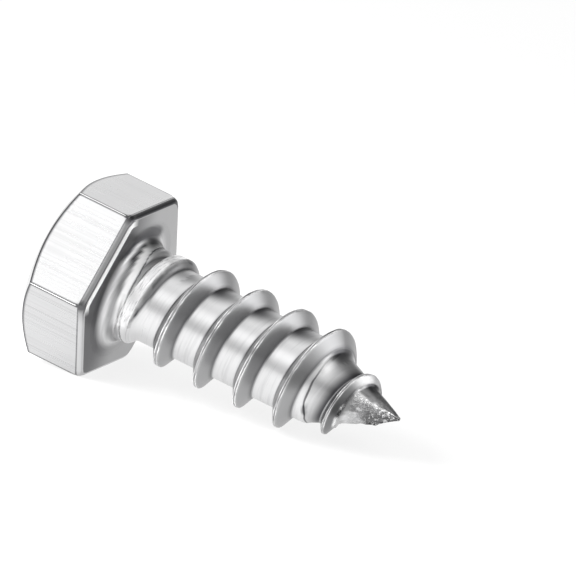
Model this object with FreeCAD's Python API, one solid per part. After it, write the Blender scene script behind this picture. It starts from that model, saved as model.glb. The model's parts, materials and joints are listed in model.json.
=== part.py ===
"""Lag screw: a hexagon head with a chamfered top, a short neck with a fillet under the head, and a coarse
wood thread that runs out at the neck and follows the tapered point. It is one cold-formed steel piece.

The screw is modelled along +X with the bearing face of its head at x = 0, and is then laid down as it rests
on a table: on one wrench flat and on the thread, with the point low. Millimetres, +Z up."""
import FreeCAD, Part
import math
import os
from FreeCAD import Vector

# Head
across_flats = 13.0
head_height = 5.5
head_face_diameter = 11.8      # flat round face on top, inside the chamfer
head_chamfer_angle = 30.0      # from the plane of that face
bearing_rim_radius = 0.35      # rounding round the bearing face
head_edge_radius = 0.18        # rounding of the six edges between the wrench flats

# Neck under the head
neck_diameter = 7.4
neck_fillet_radius = 1.15
neck_length = 1.35             # from the bearing face to where the neck drops to the root
neck_shoulder_length = 0.75    # length of that drop

# Root of the thread and point
root_diameter = 6.25
under_head_length = 23.1       # bearing face to tip
point_angle = 49.0             # full angle of the point's cone
point_shoulder_radius = 5.0    # rounding between the root and the point
tip_radius = 0.16

# Thread
thread_diameter = 8.6
thread_pitch = 3.4
thread_hand = -1               # -1 is left-handed, as the photograph shows it, and 1 is right-handed
thread_flank_angle = 30.0      # of each flank, from the radial direction
crest_width = 0.2
first_crest_x = 0.92           # where the crest crosses the underside first, measured from the bearing face
runout_turns = 1.5             # turns over which the crest rises to full height
runout_crest_width = 0.9       # wide and low where the thread starts
runout_start_share = 0.97      # of the neck's radius, so that the crest starts just under its surface
crest_taper_x = 16.3           # the crest starts to come down here
crest_taper_slope = 0.6        # fall of the crest's radius for each length along the axis
thread_end_gap = 1.7           # axial distance from the thread's end to the tip
fade_turns = 0.35              # turns over which the last of the thread sinks into the point
thread_base_share = 0.75       # the ridge's hidden base lies at this share of the shank's radius
points_per_half_turn = 12

# Accuracy of the lying position
steepest_tilt = 45.0
tilt_halvings = 60
crest_points_per_turn = 360

side_angle = 60.0              # between neighbouring wrench flats
apothem = across_flats / 2
corner_radius = apothem / math.cos(math.radians(side_angle / 2))
neck_radius = neck_diameter / 2
root_radius = root_diameter / 2
crest_radius = thread_diameter / 2
point_slope = math.tan(math.radians(point_angle / 2))
tip_centre = under_head_length - tip_radius
apex_x = tip_centre + tip_radius / math.sin(math.radians(point_angle / 2))
point_x = apex_x - root_radius / point_slope
last_turn = (under_head_length - thread_end_gap - first_crest_x) / thread_pitch


def smooth(value):
    """Eases from 0 to 1."""
    value = min(max(value, 0.0), 1.0)
    return value * value * (3 - 2 * value)


def on_circle(x, radius, angle):
    """The point at x, at that radius from the axis. The angle is in radians, from +Y towards +Z."""
    return Vector(x, radius * math.cos(angle), radius * math.sin(angle))


def make_head():
    """The hexagon, with two of its wrench flats square to Z."""
    angles = [math.radians(side_angle * i) for i in range(6)]
    corners = [on_circle(-head_height, corner_radius, angle) for angle in angles]
    prism = Part.Face(Part.makePolygon(corners + corners[:1])).extrude(Vector(head_height, 0, 0))
    long_edges = [e for e in prism.Edges if abs(e.BoundBox.XLength - head_height) < head_height / 2]
    prism = prism.makeFillet(head_edge_radius, long_edges)
    rim_edges = [e for e in prism.Edges if e.BoundBox.XMin > -head_height / 2]
    prism = prism.makeFillet(bearing_rim_radius, rim_edges)
    return prism.common(make_chamfer_blank())


def make_chamfer_blank():
    """A round blank that comes to a cone: what it shares with the hexagonal prism is the chamfered head.

    It is made of spline surfaces, so that the chamfer's edges on the flats are splines as well."""
    slope = math.tan(math.radians(head_chamfer_angle))
    outer_radius = corner_radius + head_edge_radius
    cone_end = -head_height - slope * head_face_diameter / 2
    outline = Part.makePolygon([
        Vector(cone_end, 0, 0),
        Vector(cone_end + slope * outer_radius, 0, outer_radius),
        Vector(head_height, 0, outer_radius),
        Vector(head_height, 0, 0),
        Vector(cone_end, 0, 0),
    ])
    return Part.Face(outline).revolve(Vector(0, 0, 0), Vector(1, 0, 0), 360).toNurbs()


def core_radius(x):
    """Radius of the shank without its thread, at x."""
    if x <= neck_length:
        return neck_radius
    shoulder_end = neck_length + neck_shoulder_length
    if x < shoulder_end:
        share = (x - neck_length) / neck_shoulder_length
        return neck_radius + (root_radius - neck_radius) * share
    if x <= point_x:
        return root_radius
    return max((apex_x - x) * point_slope, 0.0)


def make_core():
    """Neck, root and point, with a rounded tip that meets the cone tangentially."""
    half_angle = math.radians(point_angle / 2)
    touch_x = tip_centre + tip_radius * math.sin(half_angle)
    touch_radius = tip_radius * math.cos(half_angle)
    middle = math.pi / 4 - half_angle / 2
    arc = Part.Arc(
        Vector(touch_x, 0, touch_radius),
        Vector(tip_centre + tip_radius * math.cos(middle), 0, tip_radius * math.sin(middle)),
        Vector(under_head_length, 0, 0),
    )
    lines = Part.makePolygon([
        Vector(under_head_length, 0, 0),
        Vector(-head_height / 2, 0, 0),
        Vector(-head_height / 2, 0, neck_radius),
        Vector(neck_length, 0, neck_radius),
        Vector(neck_length + neck_shoulder_length, 0, root_radius),
        Vector(point_x, 0, root_radius),
        Vector(touch_x, 0, touch_radius),
    ])
    outline = Part.Wire(lines.Edges + [arc.toShape()])
    return Part.Face(outline).revolve(Vector(0, 0, 0), Vector(1, 0, 0), 360)


def rim_at(solid, x, radius):
    """The circular edge of that radius about the screw's axis, nearest to x."""
    near = radius / 100
    rims = [e for e in solid.Edges
            if not e.Degenerated
            and e.BoundBox.XLength < near
            and abs(e.BoundBox.ZLength / 2 - radius) < near]
    return min(rims, key=lambda e: abs(e.BoundBox.Center.x - x))


def thread_section(turns):
    """The thread's cross-section after so many turns: angle, and (x, radius) of its four corners."""
    centre = first_crest_x + thread_pitch * turns
    angle = math.radians(-90) + thread_hand * 2 * math.pi * turns
    core = core_radius(centre)
    rise = smooth(turns / runout_turns)
    first_crest = neck_radius * runout_start_share
    crest = first_crest + (crest_radius - first_crest) * rise
    if centre > crest_taper_x:
        crest = crest - (centre - crest_taper_x) * crest_taper_slope
    sink = smooth((turns - last_turn + fade_turns) / fade_turns)
    crest = crest + (core * (1 + thread_base_share) / 2 - crest) * sink
    half_crest = (runout_crest_width + (crest_width - runout_crest_width) * rise) / 2
    spread = (crest - core * thread_base_share) * math.tan(math.radians(thread_flank_angle))
    half_base = half_crest + spread + (1 - rise) * runout_crest_width / 2
    head_side = centre - half_base
    tip_side = centre + half_base
    corners = [
        (head_side, core_radius(head_side) * thread_base_share),
        (centre - half_crest, crest),
        (centre + half_crest, crest),
        (tip_side, core_radius(tip_side) * thread_base_share),
    ]
    return angle, corners


def make_thread():
    """The ridge as a list of solids, one for each half turn.

    Its four edges are splines and its faces are ruled between them."""
    cuts = [i / 2 for i in range(round(2 * last_turn))] + [last_turn]
    steps = []
    for start, end in zip(cuts, cuts[1:]):
        steps += [start + (end - start) * i / points_per_half_turn for i in range(points_per_half_turn)]
    steps.append(last_turn)
    paths = [[], [], [], []]
    for turns in steps:
        angle, corners = thread_section(turns)
        for path, (x, radius) in zip(paths, corners):
            path.append(on_circle(x, radius, angle))
    curves = []
    for path in paths:
        curve = Part.BSplineCurve()
        curve.interpolate(Points=path, Parameters=steps)
        curves.append(curve)
    spans = []
    for start, end in zip(cuts, cuts[1:]):
        edges = [curve.toShape(start, end) for curve in curves]
        faces = [Part.makeRuledSurface(edges[i], edges[(i + 1) % 4]) for i in range(4)]
        for turns in (start, end):
            ring = [curve.value(turns) for curve in curves]
            faces.append(Part.Face(Part.makePolygon(ring + ring[:1])))
        span = Part.Solid(Part.makeShell(faces))
        if span.Volume < 0:
            span.reverse()
        spans.append(span)
    return spans


def resting_tilt(crest_points):
    """Angle at which the screw lies: the rounded edge of a wrench flat and the thread touch together."""
    low = 0.0
    high = math.radians(steepest_tilt)
    for _ in range(tilt_halvings):
        tilt = (low + high) / 2
        head = (bearing_rim_radius * math.sin(tilt)
                - (apothem - bearing_rim_radius) * math.cos(tilt)
                - bearing_rim_radius)
        thread = min(p.z * math.cos(tilt) - p.x * math.sin(tilt) for p in crest_points)
        if thread > head:
            low = tilt
        else:
            high = tilt
    return math.degrees((low + high) / 2)


head = make_head()
blank = head.fuse(make_core()).removeSplitter()
blank = blank.makeFillet(neck_fillet_radius, [rim_at(blank, 0, neck_radius)])
blank = blank.makeFillet(point_shoulder_radius, [rim_at(blank, point_x, root_radius)])
screw = blank.multiFuse(make_thread()).removeSplitter()

crest_points = []
for i in range(int(last_turn * crest_points_per_turn)):
    angle, corners = thread_section(i / crest_points_per_turn)
    for x, radius in corners[1:3]:
        crest_points.append(on_circle(x, radius, angle))
tilt = resting_tilt(crest_points)
screw.rotate(Vector(0, 0, 0), Vector(0, 1, 0), tilt)
box = screw.optimalBoundingBox(False, False)
screw.translate(Vector(-box.Center.x, -box.Center.y, -box.ZMin))

os.makedirs("parts", exist_ok=True)
screw.Solids[0].exportStep("parts/lag_screw.step")
print("solids", len(screw.Solids), "valid", screw.isValid(), "volume", round(screw.Volume, 3),
      "faces", len(screw.Faces), "tilt", round(tilt, 4), "shift", -box.Center.x, -box.Center.y, -box.ZMin)
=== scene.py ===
"""A lag screw lying on a pale floor: hexagon head, filleted neck, coarse left-hand thread and pinched point.

The screw is modelled along +X with the bearing face of its head at x = 0 and +Z out of its upper wrench flat.
It is then laid where the frame has it. Blender's unit is the metre, and MM turns millimetres into metres."""
import json
import math
from collections import namedtuple

import bmesh
import bpy
from bmesh.types import BMEdge, BMFace, BMVert
from bpy.props import FloatProperty, FloatVectorProperty, PointerProperty
from bpy.types import Operator, Panel, PropertyGroup
from mathutils import Matrix, Vector, noise


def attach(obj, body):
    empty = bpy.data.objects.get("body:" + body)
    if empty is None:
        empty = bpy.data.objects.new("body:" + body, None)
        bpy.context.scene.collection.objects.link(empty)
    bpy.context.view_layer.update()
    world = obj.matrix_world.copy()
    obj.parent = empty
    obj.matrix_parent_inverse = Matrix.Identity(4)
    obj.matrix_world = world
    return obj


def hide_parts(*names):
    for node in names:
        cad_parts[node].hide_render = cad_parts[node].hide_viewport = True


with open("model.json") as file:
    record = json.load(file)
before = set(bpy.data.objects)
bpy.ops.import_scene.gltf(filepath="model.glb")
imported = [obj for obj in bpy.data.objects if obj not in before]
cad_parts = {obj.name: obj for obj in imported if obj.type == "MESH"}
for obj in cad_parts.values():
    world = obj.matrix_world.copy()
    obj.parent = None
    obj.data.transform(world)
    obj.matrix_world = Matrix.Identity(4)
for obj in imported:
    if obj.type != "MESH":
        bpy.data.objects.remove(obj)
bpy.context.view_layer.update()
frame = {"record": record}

bl_info = {
    "name": "Lag Screw",
    "version": (1, 0, 0),
    "blender": (4, 5, 0),
    "location": "View3D > Sidebar > Lag Screw",
    "description": "Models a hexagon head lag screw, its steel and a pale stage",
    "category": "Object",
}

MM = 0.001

# The mesh
SIDE_ANGLE = 60.0
FLAT_STEPS = 18        # columns across a wrench flat
CORNER_STEPS = 6       # columns round each edge between two wrench flats
SIDE_STEPS = FLAT_STEPS + CORNER_STEPS
COLUMNS = 6 * SIDE_STEPS
COLUMN_ANGLE = 360.0 / COLUMNS
FLAT_HOLD = 0.03       # share of a flat's half width between its outer columns and its edges
LAYS = 40              # strips of faces across one pitch of the thread
# From a ridge (0) to the middle between two (1): the crest's middle and edge, the flank's ends and the root's ends
LAY_STOPS = (0.0, 0.12, 0.25, 0.55, 0.8, 1.0)
REACH = 1.4            # fillet radii from the neck to where the shank's mesh ends on the bearing face
HAND = -1              # the thread is left-handed
START_ANGLE = -90.0    # it starts on the underside
ON_FACE = 0.01 * MM    # points nearer to the bearing face's plane are on it
WELD = 0.0006 * MM     # points nearer to each other are joined
BRUSHED, TURNED, FORMED = range(3)

# Numbers that the mesh's points carry for the steel. Its painted shade and painted highlight go from 0 to 1.
MARKS = ("across", "flank", "scuffed", "roughened", "painted_shade", "painted_highlight", "ring", "beside")
FAR = 9.0              # the mark of a point with no crest, foot or ring near it
# Sides of the screw, most of them for painted shade or painted highlight on one side: the turn of their middle in
# degrees from +Y towards +Z, and the cosines of the angle from it at which they start and are full
SIDES = {
    "front": (180, -0.2, 0.6),
    "lower": (-90, -0.55, 0.05),
    "rim_shining": (150, 0.8, 0.88),
    "rim_top": (90, 0.0, 0.5),
    "rim_low": (-90, 0.0, 0.25),
    "fillet_top": (98, 0.72, 0.92),
    "crescent": (138, 0.65, 0.9),
    "ring_shift": (190, -0.1, 0.7),
    "groove": (84, 0.72, 0.96),
    "last_top": (90, 0.6, 0.9),
    "ledge": (-90, -0.6, 0.0),
    "cone_top": (90, 0.5, 0.9),
    "point_top": (90, 0.5, 0.8),
}

# Painted shade and painted highlights of the head. The fillet's painted reflections go by its lean in degrees, which
# is 0 at the neck and 90 at the bearing face.
FILLET_SHADE = [(0, 0.0), (10, 0.08), (19, 0.62), (36, 0.58), (49, 0.0), (58, 0.06), (70, 0.45), (90, 0.56),
               (180, 0.5)]
FILLET_HIGHLIGHT = [(0, 0.0), (42, 0.0), (50, 0.35), (57, 0.3), (65, 0.0), (180, 0.0)]
FILLET_TOP_SHADE = 0.8         # painted shade on the fillet's top
# Painted shade on the bearing face
BEARING_SHADE = 0.51
FRONT_SHADE = 0.42      # painted shade added at the front of the bearing face and of the fillet next to it
LIT_FLAT = 1          # the wrench flat that gets a painted highlight
LIT_FLAT_HIGHLIGHT = 0.11
SMOOTH_FLAT = 0        # the one whose brush lines are fainter and whose steel is lighter
# Rings of painted shade on the wrench flats by the rim: (distance from the bearing face in rim radii, dark)
FLAT_MARKS = [(3.0, 0.0), (2.5, 0.0), (2.0, 0.0), (1.7, 0.0), (1.45, 0.0), (1.33, 0.9), (1.2, 0.55), (1.08, 0.55)]
# Rings of painted shade and painted highlight on the rounded rim, from the wrench flat inwards: (dark, painted
# highlight)
RIM_MARKS = [(0.55, 0.0), (0.55, 0.0), (0.55, 0.0), (0.6, 0.0), (1.0, 0.0), (0.3, 0.5), (0.0, 1.0)]
# Rings on the flat margin inside it, with painted highlight and then painted shade: (distance from the flat in rim
# radii, dark, painted highlight)
MARGIN_MARKS = [(1.1, 0.0, 1.0), (2.3, 0.0, 1.0), (2.45, BEARING_SHADE + 0.4, 0.0)]
# Painted lines of shade and highlight on the rounded edge between two wrench flats, by the step across the side:
# (dark, painted highlight)
EDGE_MARKS = {18: (0.9, 0.0), 19: (1.0, 0.0), 20: (0.4, 0.3), 21: (0.0, 0.8), 22: (0.6, 0.1), 23: (1.0, 0.0),
              0: (0.85, 0.0)}

# Painted shade and painted highlights of the neck and the thread
RING_PLACE = 0.98 * MM # the fine ring on the neck, painted as a line of shade, which is further from the head at the front
RING_SHIFT = 0.4 * MM
CRESCENT = (-0.31, 0.33, 0.19)   # the painted highlight beside the ring: its middle in mm, and how far from there it ends and is full
CREASE_SHADE = 0.7      # painted shade at the feet of the ridges, with its width in root roundings
CREASE_WIDTH = 0.6
GROOVE_SHADE = 0.95     # painted shade at the top of the root, behind each ridge
GROOVE_WIDTH = 1.44 * MM
FLANK_SHADE = 0.16      # painted shade on the upper part of the flanks that face the tip
LAST_TURNS = 1.1       # the last ridge's length, and the painted shade in its head side's foot and the painted shade and highlight of its other flank
LAST_FLANK_SHADE = 0.55
LAST_FLANK_HIGHLIGHT = 0.35
# painted shade on the cone
CONE_SHADE = 0.7

# Wear, and a painted highlight. Patches are (turn of the middle, half width in degrees, place along the screw, half
# length).
HIGHLIGHT_SPOT = (131, 15, 0.45 * MM, 0.36 * MM)         # a painted highlight, its place counted from the lap
FLASH = (-118, 24, 21.45 * MM, 0.6 * MM)
LUMPS = ((1.1, 1.0), (2.9, 0.6), (6.5, 0.4))   # of the rough point: (waves for each mm, share of the height)
SEAM_TURNS = (146, -34)                        # of the point, with their half width and how far they wander
SEAM_ANGLE = 9
SEAM_WANDER = 12

# Lines in the steel, as waves for each metre along and across them
BRUSH_LINES = (30, 5200, 5200)
BRUSH_BANDS = (25, 900, 900)
ROLL_LINES = (220, 6500, 1)
ROLL_STREAKS = (1300, 15000, 1)

# The stage
LAMP_PLACE = Vector((-62, -38, 48)) * MM
LAMP_AIM = Vector((-15, -8, 0)) * MM
FLAG_SIZE = (26 * MM, 46 * MM, 1)
FLAG_CORNER = Vector((16, -20, 0.4)) * MM
FLAG_TURN = 12
# Parts of the room: azimuth from +X towards +Y, elevation, and the angles from there at which they start and are full
SHADED_PART = (62, 34, 52, 22)
# Windows have the setting with their power and their share of it in front
WINDOWS = (
    ("key_power", 1, -113, 43, 18, 8),
    ("side_power", 1, -110, 26, 36, 5),
    ("side_power", 2, 116, 14, 26, 8),
    ("low_power", 1, 31, 0, 27, 5),
    ("top_power", 1, 168, 57, 30, 10),
)

# A place on the screw. Across counts half widths of the crest from its middle, flank is 1 on a flank, beside counts
# root roundings from the ridge's foot, and past is the distance from the foot of the ridge on the head side.
Place = namedtuple("Place", "x radius across flank beside past")


def length(name, description, millimetres):
    """A size, shown in the scene's unit."""
    return FloatProperty(name=name, description=description, default=millimetres * MM, min=0.0,
                         precision=5, subtype="DISTANCE", unit="LENGTH")


def angle(name, description, degrees):
    """An angle, shown in degrees."""
    return FloatProperty(name=name, description=description, default=math.radians(degrees),
                         subtype="ANGLE", unit="ROTATION")


def share(name, description, value, most=1.0):
    """A plain number from 0 to most."""
    return FloatProperty(name=name, description=description, default=value, min=0.0, max=most,
                         precision=3, subtype="FACTOR")


def strength(name, description, value):
    return FloatProperty(name=name, description=description, default=value, min=0.0)


def colour(name, description, value):
    return FloatVectorProperty(name=name, description=description, default=value, size=3,
                               min=0.0, max=1.0, subtype="COLOR")


class HeadSizes(PropertyGroup):
    across_flats: length("Across flats", "Between opposite wrench flats", 13.0)
    height: length("Height", "From the bearing face to the top", 5.5)
    face_diameter: length("Face diameter", "Round face on top", 11.8)
    chamfer_angle: angle("Chamfer angle", "Between the chamfer and the top", 30.0)
    rim_radius: length("Rim radius", "Rounding round the bearing face", 0.35)
    edge_radius: length("Edge radius", "Of the edges between the flats", 0.18)
    edge_break: length("Edge break", "Width of the chamfer's blunted edges", 0.06)
    nip_radius: length("Nip radius", "Of the nipped corners at the bearing face", 7.3)
    nip_slope: share("Nip slope", "Growth of that radius away from the bearing face", 0.22)


class ShankSizes(PropertyGroup):
    neck_diameter: length("Neck diameter", "Plain neck under the head", 7.4)
    neck_fillet: length("Neck fillet", "Radius between neck and bearing face", 1.15)
    neck_length: length("Neck length", "From the bearing face to the drop to the root", 1.35)
    shoulder_length: length("Shoulder length", "Length of that drop", 0.75)
    root_diameter: length("Root diameter", "Between the threads", 6.25)
    length: length("Length", "From the bearing face to the tip", 23.1)
    point_angle: angle("Point angle", "Full angle of the point", 49.0)
    point_shoulder: length("Point shoulder", "Rounding between root and point", 1.6)
    tip_radius: length("Tip radius", "Rounding of the tip", 0.16)


class ThreadSizes(PropertyGroup):
    diameter: length("Diameter", "Over the crests", 8.6)
    pitch: length("Pitch", "From one crest to the next", 3.4)
    flank_angle: angle("Flank angle", "Of each flank, from the radial direction", 30.0)
    crest_width: length("Crest width", "Flat on top of the ridge", 0.2)
    crest_rounding: length("Crest rounding", "Of the two edges of the crest", 0.015)
    root_rounding: length("Root rounding", "Where a flank meets the root", 0.16)
    first_crest: length("First crest", "Where the crest starts, from the bearing face", 0.92)
    runout_turns: share("Run-out turns", "Turns over which the crest rises", 1.5, 4.0)
    runout_width: length("Run-out width", "Crest width at the start", 0.9)
    runout_start: share("Run-out start", "Crest radius at the start, in neck radii", 0.97)
    taper_start: length("Taper start", "The crest comes down from here", 16.3)
    taper_slope: share("Taper slope", "Fall of the crest along the axis", 0.6)
    end_gap: length("End gap", "From the end of the thread to the tip", 1.7)
    fade_turns: share("Fade turns", "Turns over which the end sinks away", 0.35)
    base_share: share("Base share", "Radius that the flanks aim at, in shank radii", 0.75)


class Wear(PropertyGroup):
    lap_place: length("Lap place", "Where the fold from forming the point runs", 16.72)
    lap_depth: length("Lap depth", "Drop of the surface at that fold", 0.05)
    lap_width: length("Lap width", "Length over which it drops", 0.22)
    crest_scuff: length("Crest scuff", "Unevenness of the crest", 0.03)
    crest_seam: length("Crest seam", "Depth of the seam along the crest", 0.05)
    rough_start: length("Rough start", "The pinched part of the point starts here", 19.3)
    rough_height: length("Rough height", "Height of its lumps", 0.13)
    seam_height: length("Seam height", "Height of the two seams along it", 0.1)
    flash_height: length("Flash height", "Height of the flash on its underside", 0.4)
    ledge_height: length("Ledge height", "Of the lumps at the last ridge's foot", 0.21)
    tip_lift: length("Tip lift", "How far the tip stands off the axis", 0.17)


class SteelLook(PropertyGroup):
    bright: colour("Bright", "Smooth steel", (0.78, 0.78, 0.785))
    dull: colour("Dull", "Steel in brush lines and scratches", (0.42, 0.42, 0.425))
    # The flanks' satin steel, made darker than the rest partly as painted shade
    flank: colour("Flank", "Steel of the thread's flanks", (0.4, 0.4, 0.405))
    # The colour that painted shade goes to; scratches and pits take it too
    dark: colour("Dark", "Steel in folds and blunted edges", (0.07, 0.07, 0.075))
    # The colour that painted highlights go to
    painted_highlight: colour("Polished", "Steel that is rubbed bright", (0.97, 0.97, 0.97))
    brushing: share("Brushing", "Depth of the brush lines on the flats", 0.12)
    roll_marks: share("Roll marks", "Depth of the lines along the thread", 0.25)


class StageSettings(PropertyGroup):
    floor_colour: colour("Floor", "The floor's colour", (0.93, 0.93, 0.93))
    floor_white: share("Floor white", "Share of plain white as it is seen", 0.82)
    floor_power: strength("Floor light", "Watts of the lamp at the left", 0.24)
    sky_power: strength("Sky", "Strength of the room's light", 0.85)
    shade_power: strength("Shade", "Of the light in the room's dark part", 0.25)
    key_power: strength("Key", "Of the bright window at the front left", 0.58)
    side_power: strength("Side", "Of the two wide windows", 0.24)
    top_power: strength("Top", "Of the window high at the left", 0.5)
    low_power: strength("Low", "Of the low window at the right", 3.1)
    horizon: share("Horizon", "How much darker the room is low at the front", 0.58)
    view_azimuth: angle("View azimuth", "Seen from -Y turned towards +X", 23.92)
    view_elevation: angle("View elevation", "Above the horizon", 17.427)
    view_roll: angle("View roll", "Turn of the picture", 10.284)
    view_distance: length("View distance", "From the camera to its aim", 1000.0)
    lens: FloatProperty(name="Lens", description="Focal length in millimetres", default=862.25, min=1.0)
    aim: FloatVectorProperty(name="Aim", description="Point that the camera looks at", size=3,
                             default=(1.738 * MM, 5.087 * MM, 8.394 * MM), subtype="XYZ", unit="LENGTH")


def smooth(value):
    """Eases from 0 to 1."""
    value = min(max(value, 0.0), 1.0)
    return value * value * (3 - 2 * value)


def soft_max(first, second, width):
    """The larger of the two, with a rounded changeover."""
    near = max(width - abs(first - second), 0.0) / width
    return max(first, second) + near * near * width / 4


def soft_min(first, second, width):
    return -soft_max(-first, -second, width)


def between(stops, value):
    """Follows straight lines through (value, result) stops."""
    for (left, low), (right, high) in zip(stops, stops[1:]):
        if value <= right:
            return low + (high - low) * (value - left) / (right - left)
    return stops[-1][1]


def ramp(value, start, full):
    """Eases from 0 at start to 1 at full, which may be the smaller of the two."""
    return smooth((value - start) / (full - start))


def bell(value, width):
    """1 at zero, and ever less away from it."""
    return math.exp(-(value / width) ** 2)


def on_side(turn, side):
    """1 on that side of the screw, and 0 away from it."""
    middle, start, full = SIDES[side]
    return ramp(math.cos(turn - math.radians(middle)), start, full)


def turned_from(turn, middle):
    """Degrees that a turn in radians is from a middle in degrees."""
    return (math.degrees(turn) - middle + 180) % 360 - 180


def in_patch(turn, x, middle, half_width, place, half_length):
    """1 in the middle of that patch, and ever less away from it."""
    return bell(turned_from(turn, middle), half_width) * bell(x - place, half_length)


def raise_mark(vert, mark, value):
    vert[mark] = max(vert[mark], value)


def round_axis(x, radius, turn):
    """A point at that radius from the screw's axis. The turn is in radians, from +Y towards +Z."""
    return Vector((x, radius * math.cos(turn), radius * math.sin(turn)))


def mount(name):
    return next(item for item in frame["record"]["mounts"] if item["name"] == name)


def laid_down(head_height):
    """Takes the screw's own axes to where the frame's mounts have them."""
    top = mount("head_top")
    along = -Vector(top["axis"])
    up = Vector(mount("wrench_flat_1")["axis"])
    start = Vector(top["pos_m"]) + along * head_height
    turned = Matrix((along, up.cross(along), up)).transposed()
    return Matrix.Translation(start) @ turned.to_4x4()


class Shank:
    """The surface from the bearing face to the tip, worked out from its sizes."""

    def __init__(self, sizes, thread):
        self.sizes = sizes
        self.thread = thread
        self.neck_radius = sizes.neck_diameter / 2
        self.root_radius = sizes.root_diameter / 2
        self.crest_radius = thread.diameter / 2
        self.reach = self.neck_radius + sizes.neck_fillet * REACH
        half_angle = sizes.point_angle / 2
        self.tip_centre = sizes.length - sizes.tip_radius
        self.apex = self.tip_centre + sizes.tip_radius / math.sin(half_angle)
        self.slope = math.tan(half_angle)
        point_start = self.apex - self.root_radius / self.slope
        self.bend_start = point_start - sizes.point_shoulder * math.tan(half_angle / 2)
        self.bend_end = self.bend_start + sizes.point_shoulder * math.sin(half_angle)
        self.ball_start = self.tip_centre + sizes.tip_radius * math.sin(half_angle)
        self.last_turn = (sizes.length - thread.end_gap - thread.first_crest) / thread.pitch

    def core(self, x):
        """Radius of the shank without its thread."""
        sizes = self.sizes
        if x < self.bend_start:
            drop = smooth((x - sizes.neck_length) / sizes.shoulder_length)
            return self.neck_radius + (self.root_radius - self.neck_radius) * drop
        if x < self.bend_end:
            sag = math.sqrt(sizes.point_shoulder ** 2 - (x - self.bend_start) ** 2)
            return self.root_radius - sizes.point_shoulder + sag
        if x < self.ball_start:
            return (self.apex - x) * self.slope
        return math.sqrt(max(sizes.tip_radius ** 2 - (x - self.tip_centre) ** 2, 0.0))

    def core_line(self, way):
        """(x, radius) on the outline: the bearing face, its fillet to the neck, and the rest up to the tip."""
        fillet = self.sizes.neck_fillet
        if way >= fillet:
            x = min(way, self.sizes.length)
            return x, self.core(x)
        turn = (fillet - way) / fillet
        if turn < math.pi / 2:
            return fillet - fillet * math.sin(turn), self.neck_radius + fillet - fillet * math.cos(turn)
        return 0.0, min(self.neck_radius + fillet * (1 + turn - math.pi / 2), self.reach)

    def section(self, turns):
        """The ridge after so many turns: x, core and crest radius, half width of the crest, run of its flanks."""
        thread = self.thread
        centre = thread.first_crest + thread.pitch * turns
        core = self.core(min(centre, self.sizes.length))
        rise = smooth(turns / thread.runout_turns)
        first = self.neck_radius * thread.runout_start
        crest = first + (self.crest_radius - first) * rise
        if turns < 0:
            crest = first + turns * thread.pitch
        crest -= max(centre - thread.taper_start, 0.0) * thread.taper_slope
        sink = smooth((turns - self.last_turn + thread.fade_turns) / thread.fade_turns)
        crest += (core * (1 + thread.base_share) / 2 - crest) * sink
        width = thread.runout_width + (thread.crest_width - thread.runout_width) * rise
        spread = max(crest - core * thread.base_share, width / 2)
        run = math.tan(thread.flank_angle) + (1 - rise) * thread.runout_width / 2 / spread
        return centre, core, crest, width / 2, run

    def place(self, turns, lay):
        """The place on the ridge after so many turns, and on the lay from -1 to 1 across a pitch."""
        thread = self.thread
        centre, core, crest, half, run = self.section(turns)
        foot = half + max(crest - core, thread.root_rounding / 2) * run
        foot = min(foot, thread.pitch / 2 - 2 * thread.root_rounding)
        rounding = thread.crest_rounding
        offsets = (0.0, half - rounding, half + rounding, foot - thread.root_rounding / 2,
                   foot + thread.root_rounding, thread.pitch / 2)
        offset = between(list(zip(LAY_STOPS, offsets)), abs(lay))
        x, radius = self.core_line(centre + math.copysign(offset, lay))
        offset = abs(x - centre)
        ridge = soft_min(crest, crest - (offset - half) / run, 2 * rounding)
        if radius < self.reach and x < self.sizes.length:
            radius = soft_max(radius, ridge, thread.root_rounding)
        past = offset - foot if lay > 0 else thread.pitch - foot - offset
        if crest <= core:
            return Place(x, radius, FAR, 0.0, FAR, past)
        flank = smooth((offset - half) / (2 * rounding)) * smooth((foot - offset) / rounding + 1)
        beside = (offset - foot) / thread.root_rounding
        return Place(x, radius, math.copysign(offset / half, lay), flank, beside, past)


def only(kind, items):
    return [item for item in items if isinstance(item, kind)]


def mark_layers(bm):
    """Numbers that every point carries for the steel's material."""
    floats = bm.verts.layers.float
    return {name: floats.get(name) or floats.new(name) for name in MARKS}


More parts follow.
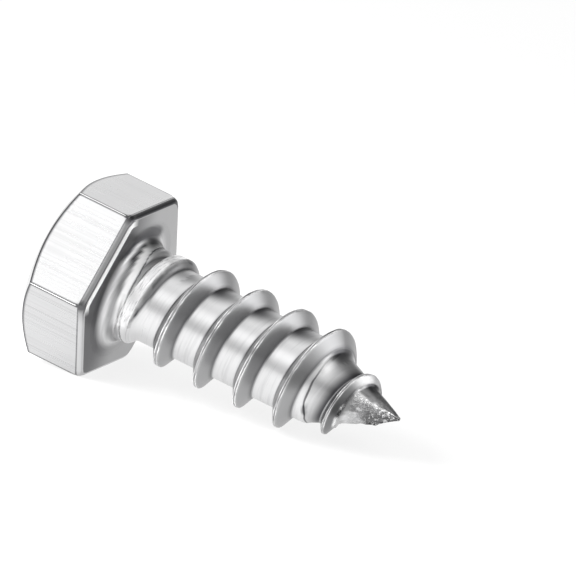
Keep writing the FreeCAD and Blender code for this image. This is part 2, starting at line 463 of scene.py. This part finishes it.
def make_shank(bm, shank, wear):
    """Spins one pitch of the outline along the thread's helix, then moves every point to the real surface."""
    thread = shank.thread
    marks = mark_layers(bm)
    lay_of = bm.verts.layers.float.new("lay")
    roll_lay = bm.loops.layers.uv.new("roll")
    half = thread.pitch / 2
    first_turn = math.floor(-(shank.reach + half + thread.first_crest) / thread.pitch)
    end_turn = math.ceil((shank.sizes.length + half - thread.first_crest) / thread.pitch)
    start_x = thread.first_crest + thread.pitch * first_turn
    start = math.radians(START_ANGLE)
    ends = [bm.verts.new(round_axis(start_x + side * half, shank.root_radius, start)) for side in (-1, 1)]
    line = bm.edges.new(ends)
    bmesh.ops.subdivide_edges(bm, edges=[line], cuts=LAYS - 1)
    for vert in bm.verts:
        vert[lay_of] = round((vert.co.x - start_x) / half * LAYS / 2) * 2 / LAYS
    bmesh.ops.spin(bm, geom=list(bm.verts) + list(bm.edges), cent=(0, 0, 0), axis=(1, 0, 0),
                   dvec=(thread.pitch / COLUMNS, 0, 0), angle=HAND * 2 * math.pi, steps=COLUMNS)
    one_turn = list(bm.verts) + list(bm.edges) + list(bm.faces)
    for turn in range(1, end_turn - first_turn):
        copy = bmesh.ops.duplicate(bm, geom=one_turn)["geom"]
        bmesh.ops.translate(bm, vec=(thread.pitch * turn, 0, 0), verts=only(BMVert, copy))

    def turns_at(vert):
        return (vert.co.x - vert[lay_of] * half - thread.first_crest) / thread.pitch

    around = 2 * math.pi * shank.root_radius
    for face in bm.faces:
        face.material_index = FORMED
        for loop in face.loops:
            loop[roll_lay].uv = (turns_at(loop.vert) * around, loop.vert[lay_of] * half)
    for vert in bm.verts:
        lay = vert[lay_of]
        turns = turns_at(vert)
        turn = start + HAND * 2 * math.pi * turns
        place = shank.place(turns, lay)
        vert.co = round_axis(place.x, place.radius, turn)
        crease = bell(place.beside, CREASE_WIDTH) * smooth(4 * turns)
        mark_ridge(vert, place, lay, turns, turn, crease, marks)
        mark_fillet(vert, shank, place, turn, marks)
        wear_down(vert, shank, wear, turn, marks)
        if turns > shank.last_turn - LAST_TURNS:
            mark_last_ridge(vert, wear, place, lay, turn, crease, marks)


def mark_ridge(vert, place, lay, turns, turn, crease, marks):
    """Marks where a point lies, and paints shade at the feet of the ridge, on its flank and in the groove that
    follows it.
    """
    lower = on_side(turn, "lower")
    vert[marks["across"]] = place.across
    vert[marks["flank"]] = place.flank
    vert[marks["beside"]] = min(max(place.beside, 0.0), FAR)
    vert[marks["painted_shade"]] = CREASE_SHADE * crease * (1 if lay > 0 else 1 - 0.9 * lower)
    if place.past > 0:
        groove = bell(place.past, GROOVE_WIDTH) * (1 - place.flank) * on_side(turn, "groove") * smooth(turns)
        raise_mark(vert, marks["painted_shade"], GROOVE_SHADE * groove)
    if lay > 0:
        raise_mark(vert, marks["painted_shade"], FLANK_SHADE * place.flank * (1 - lower))


def mark_fillet(vert, shank, place, turn, marks):
    """Marks the ring on the neck, and paints the highlight crescent beside it and the fillet's bands of shade and
    highlight.
    """
    ring = (place.x - RING_PLACE - RING_SHIFT * on_side(turn, "ring_shift")) / MM
    at_left = on_side(turn, "crescent")
    middle, outer, full = CRESCENT
    vert[marks["ring"]] = ring
    vert[marks["painted_highlight"]] = at_left * ramp(abs(ring - middle), outer, full)
    fillet = shank.sizes.neck_fillet
    if place.x > fillet:
        return
    lean = math.degrees(math.atan2(fillet - place.x, shank.neck_radius + fillet - place.radius))
    dark = between(FILLET_SHADE, lean) + FRONT_SHADE * on_side(turn, "front") * ramp(lean, 66, 90)
    dark += FILLET_TOP_SHADE * on_side(turn, "fillet_top") * ramp(lean, 22, 37) * ramp(lean, 110, 80)
    raise_mark(vert, marks["painted_shade"], min(dark, 1.0))
    raise_mark(vert, marks["painted_highlight"], at_left * between(FILLET_HIGHLIGHT, lean))


def mark_last_ridge(vert, wear, place, lay, turn, crease, marks):
    """The last ridge gets painted shade in the groove on its head side, and lumps, painted shade low on its flank and
    a painted highlight high on it on its tip side.
    """
    if lay > 0:
        raise_ledge(vert, wear, turn, crease, marks)
        raise_mark(vert, marks["painted_shade"], LAST_FLANK_SHADE * place.flank * on_side(turn, "lower"))
        raise_mark(vert, marks["painted_highlight"], LAST_FLANK_HIGHLIGHT * place.flank * on_side(turn, "last_top"))
    elif place.beside > 0:
        groove = ramp(abs(lay), 1.0, 0.88) * bell(place.beside, 4) * (1 - place.flank)
        raise_mark(vert, marks["painted_shade"], groove)


def raise_ledge(vert, wear, turn, crease, marks):
    """Lumps of squeezed-out steel along the foot of the last ridge, with painted highlights on them."""
    crease *= on_side(turn, "ledge")
    lump = max(crease * (0.55 + 1.7 * noise.noise(vert.co / MM * 1.15)), 0.0)
    vert.co += round_axis(0.0, wear.ledge_height * lump, turn)
    raise_mark(vert, marks["painted_highlight"], min(1.1 * lump - 0.2, 1.0))
    raise_mark(vert, marks["roughened"], crease)


def wear_down(vert, shank, wear, turn, marks):
    """Scuffs the crest, opens its seam, folds the lap, and sees to the cone and the point."""
    x = vert.co.x
    place = vert.co / MM
    across = vert[marks["across"]]
    flank = vert[marks["flank"]]
    on_crest = ramp(abs(across), 1.5, 1.0)
    on_root = (1 - on_crest) * (1 - flank)
    vert[marks["scuffed"]] = on_crest
    seam = bell(across, 0.4) * (0.6 + noise.noise(place * 1.3))
    scuff = noise.noise(place * 1.7) - 0.4
    push = on_crest * (wear.crest_scuff * scuff - wear.crest_seam * seam)
    past_lap = (x - wear.lap_place) / wear.lap_width
    push -= on_root * wear.lap_depth * ramp(past_lap, -0.5, 0.5) * ramp(past_lap, 12, 4)
    if x < wear.rough_start:
        mark_cone(vert, wear, turn, on_root, marks)
    rough = ramp(x, wear.rough_start, wear.rough_start + 0.7 * MM) * smooth(1.3 - on_crest - flank)
    vert[marks["roughened"]] = rough
    if rough > 0:
        push += pinch(vert, shank, wear, turn, rough, marks)
    vert.co += round_axis(0.0, push, turn)


def mark_cone(vert, wear, turn, on_root, marks):
    """Paints a highlight spot past the lap, and shade on the cone, darkest by the point and at the top."""
    past = vert.co.x - wear.lap_place
    raise_mark(vert, marks["painted_highlight"], on_root * in_patch(turn, past, *HIGHLIGHT_SPOT))
    late = (ramp(past, 1.0 * MM, 2.4 * MM) + on_side(turn, "cone_top")) / 3
    raise_mark(vert, marks["painted_shade"], CONE_SHADE * on_root * (0.15 + late) * smooth(past / wear.lap_width))


def pinch(vert, shank, wear, turn, rough, marks):
    """Bends the tip up and marks the pinched point. Gives the height of its lumps, seams and flash there."""
    x = vert.co.x
    place = vert.co / MM
    kept = rough * ramp(x, shank.sizes.length, shank.sizes.length - 0.5 * MM)
    upper = on_side(turn, "point_top")
    lump = sum(height * noise.noise(place * waves) for waves, height in LUMPS)
    push = wear.rough_height * kept * lump * (1 - 0.8 * upper)
    vert[marks["roughened"]] = rough * (1 - 0.7 * upper)
    # Painted shade on the upper side of the point
    raise_mark(vert, marks["painted_shade"], 0.55 * upper * rough)
    for seam_turn in SEAM_TURNS:
        beside = turned_from(turn, seam_turn) + SEAM_WANDER * noise.noise(place * 1.5)
        ridge = kept * bell(beside, SEAM_ANGLE)
        push += wear.seam_height * ridge
        # Painted highlights along the seams
        raise_mark(vert, marks["painted_highlight"], 0.5 * ridge)
    lift = wear.tip_lift * ramp(x, wear.rough_start, wear.rough_start + 3 * MM)
    vert.co += Vector((-lift / 2, 0.0, lift))
    return push + wear.flash_height * in_patch(turn, x, *FLASH)


def outline(column, apothem, rounding):
    """(y, z) on a hexagon with rounded corners."""
    side, step = divmod(column, SIDE_STEPS)
    facing = math.radians(90 + SIDE_ANGLE * side)
    half_corner = math.radians(SIDE_ANGLE / 2)
    half_flat = (apothem - rounding) * math.tan(half_corner)
    if step <= FLAT_STEPS:
        place = (1 - FLAT_HOLD) * (2 * (step - 1) / (FLAT_STEPS - 2) - 1)
        out, sideways = apothem, half_flat * min(max(place, -1.0), 1.0)
    else:
        turn = 2 * half_corner * (step - FLAT_STEPS) / CORNER_STEPS
        out, sideways = apothem - rounding + rounding * math.cos(turn), half_flat + rounding * math.sin(turn)
    return (out * math.cos(facing) - sideways * math.sin(facing),
            out * math.sin(facing) + sideways * math.cos(facing))


def head_rings(head, reach):
    """The head's rings from its top to near the neck's fillet: (finish, point of a column, painted shade, painted
    highlight).
    """
    apothem = head.across_flats / 2
    slope = math.tan(head.chamfer_angle)
    face_radius = head.face_diameter / 2
    blunt = head.edge_break

    def corner(column):
        y, z = outline(column, apothem, head.edge_radius)
        return math.hypot(y, z), math.atan2(z, y)

    def on_face(radius, sink=0.0):
        return lambda column: round_axis(-head.height + sink, radius, corner(column)[1])

    def on_chamfer(inwards):
        def point(column):
            radius, turn = corner(column)
            radius -= inwards
            return round_axis(slope * (radius - face_radius) - head.height, radius, turn)
        return point

    def on_flat(below):
        return lambda column: on_chamfer(0.0)(column) + Vector((below, 0, 0))

    def blunted(column):
        return (on_chamfer(blunt)(column) + on_flat(blunt)(column)) * 0.3 + on_flat(0.0)(column) * 0.4

    def at_rim(x, inset):
        def point(column):
            y, z = outline(column, apothem - inset, max(head.edge_radius - inset, head.edge_radius / 4))
            radius = math.hypot(y, z)
            most = min(radius, head.nip_radius - inset + head.nip_slope * -x)
            return Vector((x, y * most / radius, z * most / radius))
        return point

    def on_circle(radius):
        def point(column):
            side, step = divmod(column, SIDE_STEPS)
            turn = 90 + SIDE_ANGLE * side + COLUMN_ANGLE * (step - FLAT_STEPS / 2)
            return round_axis(0.0, radius, math.radians(turn))
        return point

    # Painted lines of shade and highlight along the blunted edges of the top face and the chamfer
    rings = [
        (TURNED, on_face(face_radius - 4 * blunt), 0.0, 0.0),
        (TURNED, on_face(face_radius - blunt), 0.0, 0.0),
        (TURNED, on_face(face_radius, blunt * slope / 4), 0.5, 0.0),
        (TURNED, on_face(face_radius + blunt, blunt * slope), 0.0, 0.5),
        (TURNED, on_face(face_radius + 3 * blunt, 3 * blunt * slope), 0.0, 0.0),
        (TURNED, on_chamfer(2.5 * blunt), 0.0, 0.0),
        (TURNED, on_chamfer(blunt), 0.4, 0.0),
        (TURNED, blunted, 1.0, 0.0),
        (BRUSHED, on_flat(blunt), 1.0, 0.0),
        (BRUSHED, on_flat(2 * blunt), 0.6, 0.0),
        (BRUSHED, on_flat(4 * blunt), 0.0, 0.0),
    ]
    for depth, dark in FLAT_MARKS:
        rings.append((BRUSHED, at_rim(-head.rim_radius * depth, 0.0), dark, 0.0))
    for step, (dark, painted_highlight) in enumerate(RIM_MARKS):
        turn = math.radians(90) * step / (len(RIM_MARKS) - 1)
        rings.append((FORMED, at_rim(-head.rim_radius * (1 - math.sin(turn)),
                                     head.rim_radius * (1 - math.cos(turn))), dark, painted_highlight))
    for inset, dark, painted_highlight in MARGIN_MARKS:
        rings.append((FORMED, at_rim(0.0, head.rim_radius * inset), dark, painted_highlight))
    rings.append((FORMED, on_circle(reach + head.rim_radius / 2), BEARING_SHADE, 0.0))
    rings.append((FORMED, on_circle(reach), BEARING_SHADE, 0.0))
    return rings


def mark_head(vert, head, column, finish, dark, painted_highlight, marks):
    """Paints shade and highlights on the edges between the flats, the nipped corners, the rim and the bearing face.
    """
    side, step = divmod(column, SIDE_STEPS)
    x = vert.co.x
    if finish == BRUSHED:
        line_dark, line_highlight = EDGE_MARKS.get(step, (0.0, 0.0))
        lightened = LIT_FLAT_HIGHLIGHT if side == LIT_FLAT and not dark else 0.0
        dark, painted_highlight = max(dark, line_dark), max(painted_highlight, line_highlight, lightened)
    # Painted shade in the nipped corners
    if -2 * head.rim_radius < x < -ON_FACE:
        corner = math.hypot(*outline(column, head.across_flats / 2, head.edge_radius))
        nipped = smooth((corner - head.nip_radius + head.nip_slope * x) / (0.012 * MM))
        dark = max(dark * (1 - nipped), 0.9 * nipped)
        painted_highlight *= 1 - nipped
    # The rim's painted highlight shows only on its shining side; elsewhere its painted shade is darker at the top and
    # lighter low down. The bearing face gets painted shade, more at the front.
    if finish == FORMED:
        turn = math.atan2(vert.co.z, vert.co.y)
        shining = on_side(turn, "rim_shining")
        painted_highlight *= shining
        if x > -ON_FACE:
            dark = max(dark * shining, (1 - painted_highlight) * (BEARING_SHADE + FRONT_SHADE * on_side(turn, "front")))
        else:
            shade = 0.7 * on_side(turn, "rim_top") - 0.6 * on_side(turn, "rim_low")
            dark *= 1 + (1 - shining) * shade
    vert[marks["painted_shade"]] = dark
    vert[marks["painted_highlight"]] = painted_highlight
    vert[marks["across"]] = vert[marks["ring"]] = FAR
    vert[marks["scuffed"]] = float(finish == BRUSHED and side == SMOOTH_FLAT)


def made(scene, name, bm, *materials):
    """Turns the bmesh into an object of the scene."""
    mesh = bpy.data.meshes.new(name)
    bm.to_mesh(mesh)
    bm.free()
    for material in materials:
        mesh.materials.append(material)
    item = bpy.data.objects.new(name, mesh)
    scene.collection.objects.link(item)
    return item


def make_head(bm, head, reach):
    """Grows the head from the round face on its top, ring by ring, down to the bearing face."""
    marks = mark_layers(bm)
    column_of = bm.verts.layers.int.new("column")
    rings = head_rings(head, reach)
    ring = bmesh.ops.create_circle(bm, cap_ends=True, segments=COLUMNS, radius=head.face_diameter / 2)["verts"]
    for column, vert in enumerate(ring):
        vert[column_of] = column
        vert.co = rings[0][1](column)
        vert[marks["across"]] = vert[marks["ring"]] = FAR
    cap = ring[0].link_faces[0]
    cap.material_index = TURNED
    rim = list(cap.edges)
    for finish, point, dark, painted_highlight in rings[1:]:
        grown = bmesh.ops.extrude_edge_only(bm, edges=rim)["geom"]
        ring = only(BMVert, grown)
        for vert in ring:
            vert.co = point(vert[column_of])
            mark_head(vert, head, vert[column_of], finish, dark, painted_highlight, marks)
        outer = set(ring)
        rim = [edge for edge in only(BMEdge, grown) if outer.issuperset(edge.verts)]
        for face in only(BMFace, grown):
            face.material_index = finish


class Wire:
    """A socket of a material's node that takes part in Python expressions."""

    def __init__(self, finish, socket):
        self.finish = finish
        self.socket = socket

    def maths(self, operation, *values):
        return self.finish.node("Math", {"operation": operation}, dict(enumerate((self, *values))))

    def __add__(self, other):
        return self.maths("ADD", other)

    __radd__ = __add__

    def __sub__(self, other):
        return self.maths("SUBTRACT", other)

    def __rsub__(self, other):
        return self * -1.0 + other

    def __mul__(self, other):
        return self.maths("MULTIPLY", other)

    __rmul__ = __mul__

    def limited(self):
        """Kept between 0 and 1."""
        return self.maths("MINIMUM", 1.0).maths("MAXIMUM", 0.0)


class Finish:
    """A material or the room's light, made node by node."""

    def __init__(self, name="", tree=None):
        if tree is None:
            self.material = bpy.data.materials.new(name)
            self.material.use_nodes = True
            tree = self.material.node_tree
        self.tree = tree
        self.tree.nodes.clear()

    def node(self, kind, settings=None, sockets=None, output=0):
        """Adds a shader node: its settings come first, then the values or links of its sockets."""
        node = self.tree.nodes.new("ShaderNode" + kind)
        for name, value in (settings or {}).items():
            setattr(node, name, value)
        for key, value in (sockets or {}).items():
            if isinstance(value, Wire):
                self.tree.links.new(value.socket, node.inputs[key])
            else:
                node.inputs[key].default_value = value
        return Wire(self, node.outputs[output]) if node.outputs else None

    def ease(self, value, start, end):
        """0 up to start, 1 from end, and a smooth change between them."""
        return self.node("MapRange", {"interpolation_type": "SMOOTHSTEP"},
                         {"Value": value, "From Min": start, "From Max": end})

    def mix(self, factor, first, second):
        return self.node("Mix", {"data_type": "RGBA"}, {"Factor": factor, 6: first, 7: second}, 2)

    def noise(self, place, scale, detail=2.0, roughness=0.5):
        """Noise with so many waves for each metre, or for each metre of the axes."""
        if isinstance(scale, tuple):
            place, scale = self.node("Mapping", None, {"Vector": place, "Scale": scale}), 1.0
        return self.node("TexNoise", None,
                         {"Vector": place, "Scale": scale, "Detail": detail, "Roughness": roughness})

    def mark(self, name):
        """One of the numbers that the screw's points carry."""
        return self.node("Attribute", {"attribute_name": name}, output="Fac")

    def near(self, value, middle, width):
        """1 at the middle and 0 from that width on either side."""
        return 1 - self.ease((value - middle).maths("ABSOLUTE"), width / 3, width)

    def patches(self, place, scale, start, end):
        """Irregular spots of 1 in 0."""
        return self.ease(self.noise(place, scale), start, end)

    def part(self, vector, axis):
        return self.node("SeparateXYZ", None, {"Vector": vector}, axis)

    def steel(self, look, colour, roughness, height, depth, dark=None, painted_highlight=None):
        """Ends the material with its painted shade and painted highlight, where the painted highlight also takes away
        some of the metal. Without dark and painted_highlight, it takes those of the points.
        """
        dark = self.mark("painted_shade") if dark is None else dark
        painted_highlight = self.mark("painted_highlight") if painted_highlight is None else painted_highlight
        colour = self.mix(dark, colour, rgba(look.dark))
        colour = self.mix(painted_highlight, colour, rgba(look.painted_highlight))
        bump = self.node("Bump", None, {"Height": height, "Distance": depth})
        surface = self.node("BsdfPrincipled", None, {
            "Base Color": colour, "Metallic": 1 - 0.75 * painted_highlight, "Roughness": roughness, "Normal": bump})
        self.node("OutputMaterial", None, {"Surface": surface})
        return self.material


def rgba(colour):
    return (*colour, 1.0)


def own_place(finish, lie):
    """Object coordinates turned and moved into the screw's own axes."""
    there = finish.node("TexCoord", output="Object")
    location, turn, _ = lie.decompose()
    return finish.node("Mapping", {"vector_type": "TEXTURE"},
                       {"Vector": there, "Location": location, "Rotation": turn.to_euler()})


def brushed_steel(look, lie):
    """The wrench flats: fine lines parallel to the screw's axis, less deep on the flat whose steel is lighter."""
    finish = Finish("brushed_steel")
    place = own_place(finish, lie)
    fine = finish.noise(place, BRUSH_LINES, 3.0, 0.6)
    bands = finish.noise(place, BRUSH_BANDS)
    stain = finish.noise(place, 260.0)
    lines = fine * 0.7 + bands * 0.3
    lightened = finish.mark("scuffed")
    depth = 1 - 0.45 * lightened
    contrast = (finish.ease(lines, 0.32, 0.56) - 0.5) * 0.26 * depth
    colour = finish.mix(0.35 + 0.33 * lightened + contrast, rgba(look.dull), rgba(look.bright))
    roughness = 0.2 + 0.08 * stain + 0.08 * fine
    return finish.steel(look, colour, roughness, lines * depth, look.brushing * 0.004 * MM)


def turned_steel(look, lie):
    """The top of the head and its chamfer: a faint, even grain."""
    finish = Finish("turned_steel")
    place = own_place(finish, lie)
    grain = finish.noise(place, 9000.0)
    stain = finish.noise(place, 300.0, 3.0)
    colour = finish.mix(0.4 + 0.3 * stain, rgba(look.bright), rgba(look.dull))
    return finish.steel(look, colour, 0.24 + 0.05 * stain, grain, 0.001 * MM)


def formed_steel(look, lie, lap_place):
    """Bearing face, neck, thread and point: satin, with lines along the helix, and rough where it was pinched."""
    finish = Finish("formed_steel")
    place = own_place(finish, lie)
    along = finish.part(place, "X")
    rolled = finish.node("UVMap", {"uv_map": "roll"})
    lines = finish.noise(rolled, ROLL_LINES, 3.0, 0.6)
    streaks = finish.noise(rolled, ROLL_STREAKS, 4.0, 0.65)
    haze = finish.noise(place, 420.0, 3.0)
    grain = finish.noise(place, 4900.0, 4.0, 0.65)
    nicks = finish.noise(place, 2600.0)
    ragged = nicks - 0.5
    across = finish.mark("across")
    flank = finish.mark("flank")
    scuff = finish.mark("scuffed")
    rough = finish.mark("roughened")
    shade_places = finish.mark("painted_shade")
    highlight_places = finish.mark("painted_highlight")

    # The crest: painted shade in its seam, broken painted highlights on its edges, and scratches. On the run-out
    # there are only the scratches, a painted highlight between them, and painted shade along its edges.
    full = finish.ease(finish.part(rolled, "X"), 12 * MM, 26 * MM)
    seam = finish.near(across + 0.9 * ragged, 0.0, 0.55) * scuff * full
    seam = seam * (0.4 + 0.9 * finish.patches(place, 640.0, 0.44, 0.58))
    edges = finish.near(across.maths("ABSOLUTE") + 0.6 * ragged, 1.0, 0.35) * scuff * full
    edges = edges * finish.patches(place, 800.0, 0.42, 0.6)
    scratched = scuff * finish.ease(streaks, 0.5, 0.62)
    runout_highlight = scuff * (1 - full) * (1 - scratched)
    ledge = finish.near(across + 0.3 * ragged, 1.3, 0.6) * (1 - full)
    ledge = ledge * finish.patches(place, 560.0, 0.48, 0.6)

    # Painted shade on the neck's ring and along the lap round the cone, which wanders; the lap has a painted shadow
    # beside it and a painted highlight on its head side
    neck_ring_shade = finish.near(finish.mark("ring") + 0.15 * ragged, 0.02, 0.08)
    plain = (1 - scuff) * (1 - flank) * finish.ease(finish.mark("beside"), 0.6, 2.0)
    wave = along + 0.6 * MM * (finish.noise(place, 330.0) - 0.5)
    shadow = finish.near(wave, lap_place + 0.1 * MM, 0.32 * MM) * finish.patches(place, 480.0, 0.52, 0.66)
    lap = (finish.near(wave, lap_place + 0.06 * MM, 0.09 * MM) + shadow) * plain
    lap_highlight = finish.near(wave, lap_place - 0.3 * MM, 0.36 * MM) * plain

    # The pinched point: pits, and painted glints
    coarse = rough * (0.3 + 0.7 * finish.ease(along, 20 * MM, 22 * MM))
    pits = coarse * finish.ease(nicks, 0.5, 0.62)
    glints = finish.ease(grain, 0.55, 0.6) * (0.7 * coarse + 1.5 * rough * highlight_places) * (1 - shade_places)

    # The flanks take the darker flank steel, partly as painted shade
    colour = finish.mix(flank, rgba(look.bright), rgba(look.flank))
    colour = finish.mix(0.16 * haze + 0.25 * finish.ease(lines, 0.45, 0.7) + 0.6 * rough, colour, rgba(look.dull))
    # Painted shade from the points, the seam, the run-out's edges, the neck's ring and the lap, with a darker crest,
    # scratches and pits
    dark = (shade_places + 0.2 * scuff * full + 0.4 * seam + 0.18 * scratched + 0.5 * ledge
            + 0.7 * neck_ring_shade + 0.8 * lap + 0.55 * pits)
    # Painted highlights from the points, the crest's edges, the run-out, beside the lap, and glints
    painted_highlight = highlight_places + 0.75 * edges + 0.42 * runout_highlight + 0.12 * lap_highlight + glints
    roughness = 0.29 + 0.05 * haze + 0.05 * lines + 0.02 * flank - 0.12 * rough
    height = (look.roll_marks * lines * (1 - rough) + grain * (0.08 + 4.8 * coarse + 0.6 * scuff)
              + 0.5 * scratched - 4 * lap)
    return finish.steel(look, colour, roughness, height, 0.006 * MM, dark.limited(), painted_highlight.limited())


class LAGSCREW_OT_make_screw(Operator):
    """Models the screw in one piece, finishes its steel and lays it where the frame has it"""
    bl_idname = "lag_screw.make_screw"
    bl_label = "Make Screw"

    def execute(self, context):
        scene = context.scene
        head = scene.lag_screw_head
        shank = Shank(scene.lag_screw_shank, scene.lag_screw_thread)
        lie = laid_down(head.height)
        bm = bmesh.new()
        make_shank(bm, shank, scene.lag_screw_wear)
        make_head(bm, head, shank.reach)
        bmesh.ops.remove_doubles(bm, verts=bm.verts, dist=WELD)
        bmesh.ops.recalc_face_normals(bm, faces=bm.faces)
        if not all(edge.is_manifold for edge in bm.edges):
            raise RuntimeError("the screw isn't closed")
        bmesh.ops.transform(bm, matrix=lie, verts=bm.verts)
        for face in bm.faces:
            face.smooth = True
        look = scene.lag_screw_look
        screw = made(scene, "hex_lag_screw", bm, brushed_steel(look, lie), turned_steel(look, lie),
                     formed_steel(look, lie, scene.lag_screw_wear.lap_place))
        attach(screw, "root")
        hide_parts("lag_screw")
        return {"FINISHED"}


class LAGSCREW_OT_make_stage(Operator):
    """Makes the pale floor, the soft lamps, the room's light and the camera"""
    bl_idname = "lag_screw.make_stage"
    bl_label = "Make Stage"

    def execute(self, context):
        scene = context.scene
        settings = scene.lag_screw_stage
        make_floor(scene, settings)
        add_lamp(scene, settings.floor_power)
        add_flag(scene)
        make_room(scene, settings)
        make_camera(scene, settings)
        scene.view_settings.view_transform = "Standard"
        return {"FINISHED"}


def make_floor(scene, settings):
    """The floor is seen and mirrored as mostly plain white, and keeps the screw's shadow."""
    bm = bmesh.new()
    bmesh.ops.create_grid(bm, x_segments=1, y_segments=1, size=3.0)
    finish = Finish("pale_floor")
    lit = finish.node("BsdfDiffuse", None, {"Color": rgba(settings.floor_colour)})
    plain = finish.node("Emission")
    seen = sum(finish.node("LightPath", output="Is %s Ray" % kind) for kind in ("Camera", "Glossy", "Transmission"))
    white = settings.floor_white * seen.limited()
    surface = finish.node("MixShader", None, {0: white, 1: lit, 2: plain})
    finish.node("OutputMaterial", None, {"Surface": surface})
    floor = made(scene, "floor", bm, finish.material)


def heading(azimuth, elevation):
    """A direction in the room. The azimuth goes from +X towards +Y; both are in degrees."""
    turn, rise = math.radians(azimuth), math.radians(elevation)
    return Vector((math.cos(turn) * math.cos(rise), math.sin(turn) * math.cos(rise), math.sin(rise)))


def add_lamp(scene, power):
    """A soft lamp at the left, outside the picture. It lights the floor and doesn't show in the steel."""
    lamp = bpy.data.lights.new("floor_lamp", "AREA")
    lamp.size = 60 * MM
    lamp.energy = power
    place = bpy.data.objects.new("floor_lamp", lamp)
    place.location = LAMP_PLACE
    place.rotation_euler = (LAMP_PLACE - LAMP_AIM).to_track_quat("Z", "Y").to_euler()
    place.visible_glossy = False
    scene.collection.objects.link(place)


def add_flag(scene):
    """A dark card on the floor at the right. Only the steel mirrors it, and it shades the flanks."""
    bm = bmesh.new()
    bmesh.ops.create_grid(bm, x_segments=1, y_segments=1, size=0.5)
    bmesh.ops.translate(bm, vec=(0.5, 0.5, 0), verts=bm.verts)
    bmesh.ops.scale(bm, vec=FLAG_SIZE, verts=bm.verts)
    lie = Matrix.Translation(FLAG_CORNER) @ Matrix.Rotation(math.radians(FLAG_TURN), 4, "Z")
    bmesh.ops.transform(bm, matrix=lie, verts=bm.verts)
    finish = Finish("black_card")
    surface = finish.node("BsdfDiffuse", None, {"Color": (0.2, 0.2, 0.2, 1.0)})
    finish.node("OutputMaterial", None, {"Surface": surface})
    flag = made(scene, "flag", bm, finish.material)
    flag.visible_camera = False
    flag.visible_diffuse = False
    flag.visible_shadow = False


def make_room(scene, settings):
    """The room's light: pale, darker at the back right and low in front, with soft windows."""
    world = bpy.data.worlds.new("room")
    world.use_nodes = True
    room = Finish(tree=world.node_tree)
    direction = room.node("TexCoord", output="Generated")

    def facing(azimuth, elevation):
        return room.node("VectorMath", {"operation": "DOT_PRODUCT"},
                         {0: direction, 1: heading(azimuth, elevation)}, "Value")

    def towards(azimuth, elevation, outer, inner):
        """1 within the inner angle of that direction and 0 outside the outer one."""
        limits = [math.cos(math.radians(spread)) for spread in (outer, inner)]
        return room.ease(facing(azimuth, elevation), *limits)

    sky = settings.sky_power
    light = sky + (settings.shade_power - sky) * towards(*SHADED_PART)
    band = room.near(room.part(direction, "Z"), 0.08, 0.42) * room.ease(facing(-112, 0), 0.0, 0.45)
    light = light * (1 - settings.horizon * band)
    for power, portion, *window in WINDOWS:
        light = light + getattr(settings, power) * portion * towards(*window)
    light = room.node("Background", None, {"Strength": light, "Color": (1.0, 1.0, 1.0, 1.0)})
    room.node("OutputWorld", None, {"Surface": light})
    scene.world = world


def make_camera(scene, settings):
    turn, rise = settings.view_azimuth, settings.view_elevation
    back = Vector((math.sin(turn) * math.cos(rise), -math.cos(turn) * math.cos(rise), math.sin(rise)))
    data = bpy.data.cameras.new("camera")
    data.lens = settings.lens
    data.clip_start = settings.view_distance / 100
    data.clip_end = settings.view_distance * 10
    camera = bpy.data.objects.new("camera", data)
    camera.location = Vector(settings.aim) + back * settings.view_distance
    camera.rotation_mode = "QUATERNION"
    upright = back.to_track_quat("Z", "Y")
    camera.rotation_quaternion = upright @ Matrix.Rotation(settings.view_roll, 3, "Z").to_quaternion()
    scene.collection.objects.link(camera)
    scene.camera = camera


class LAGSCREW_PT_panel(Panel):
    """The screw's sizes and finishes, and the buttons that make it"""
    bl_idname = "LAGSCREW_PT_panel"
    bl_label = "Lag Screw"
    bl_space_type = "VIEW_3D"
    bl_region_type = "UI"
    bl_category = "Lag Screw"

    def draw(self, context):
        for name, group in GROUPS.items():
            box = self.layout.box()
            for key in group.__annotations__:
                box.prop(getattr(context.scene, name), key)
        for operator in OPERATORS:
            self.layout.operator(operator.bl_idname)


GROUPS = {
    "lag_screw_head": HeadSizes,
    "lag_screw_shank": ShankSizes,
    "lag_screw_thread": ThreadSizes,
    "lag_screw_wear": Wear,
    "lag_screw_look": SteelLook,
    "lag_screw_stage": StageSettings,
}
OPERATORS = (LAGSCREW_OT_make_screw, LAGSCREW_OT_make_stage)


def register():
    for item in (*GROUPS.values(), *OPERATORS, LAGSCREW_PT_panel):
        bpy.utils.register_class(item)
    for name, group in GROUPS.items():
        setattr(bpy.types.Scene, name, PointerProperty(type=group))


def unregister():
    for name in GROUPS:
        delattr(bpy.types.Scene, name)
    for item in (LAGSCREW_PT_panel, *OPERATORS, *GROUPS.values()):
        bpy.utils.unregister_class(item)


def main():
    register()
    bpy.ops.lag_screw.make_screw()
    bpy.ops.lag_screw.make_stage()


if __name__ == "__main__":
    main()
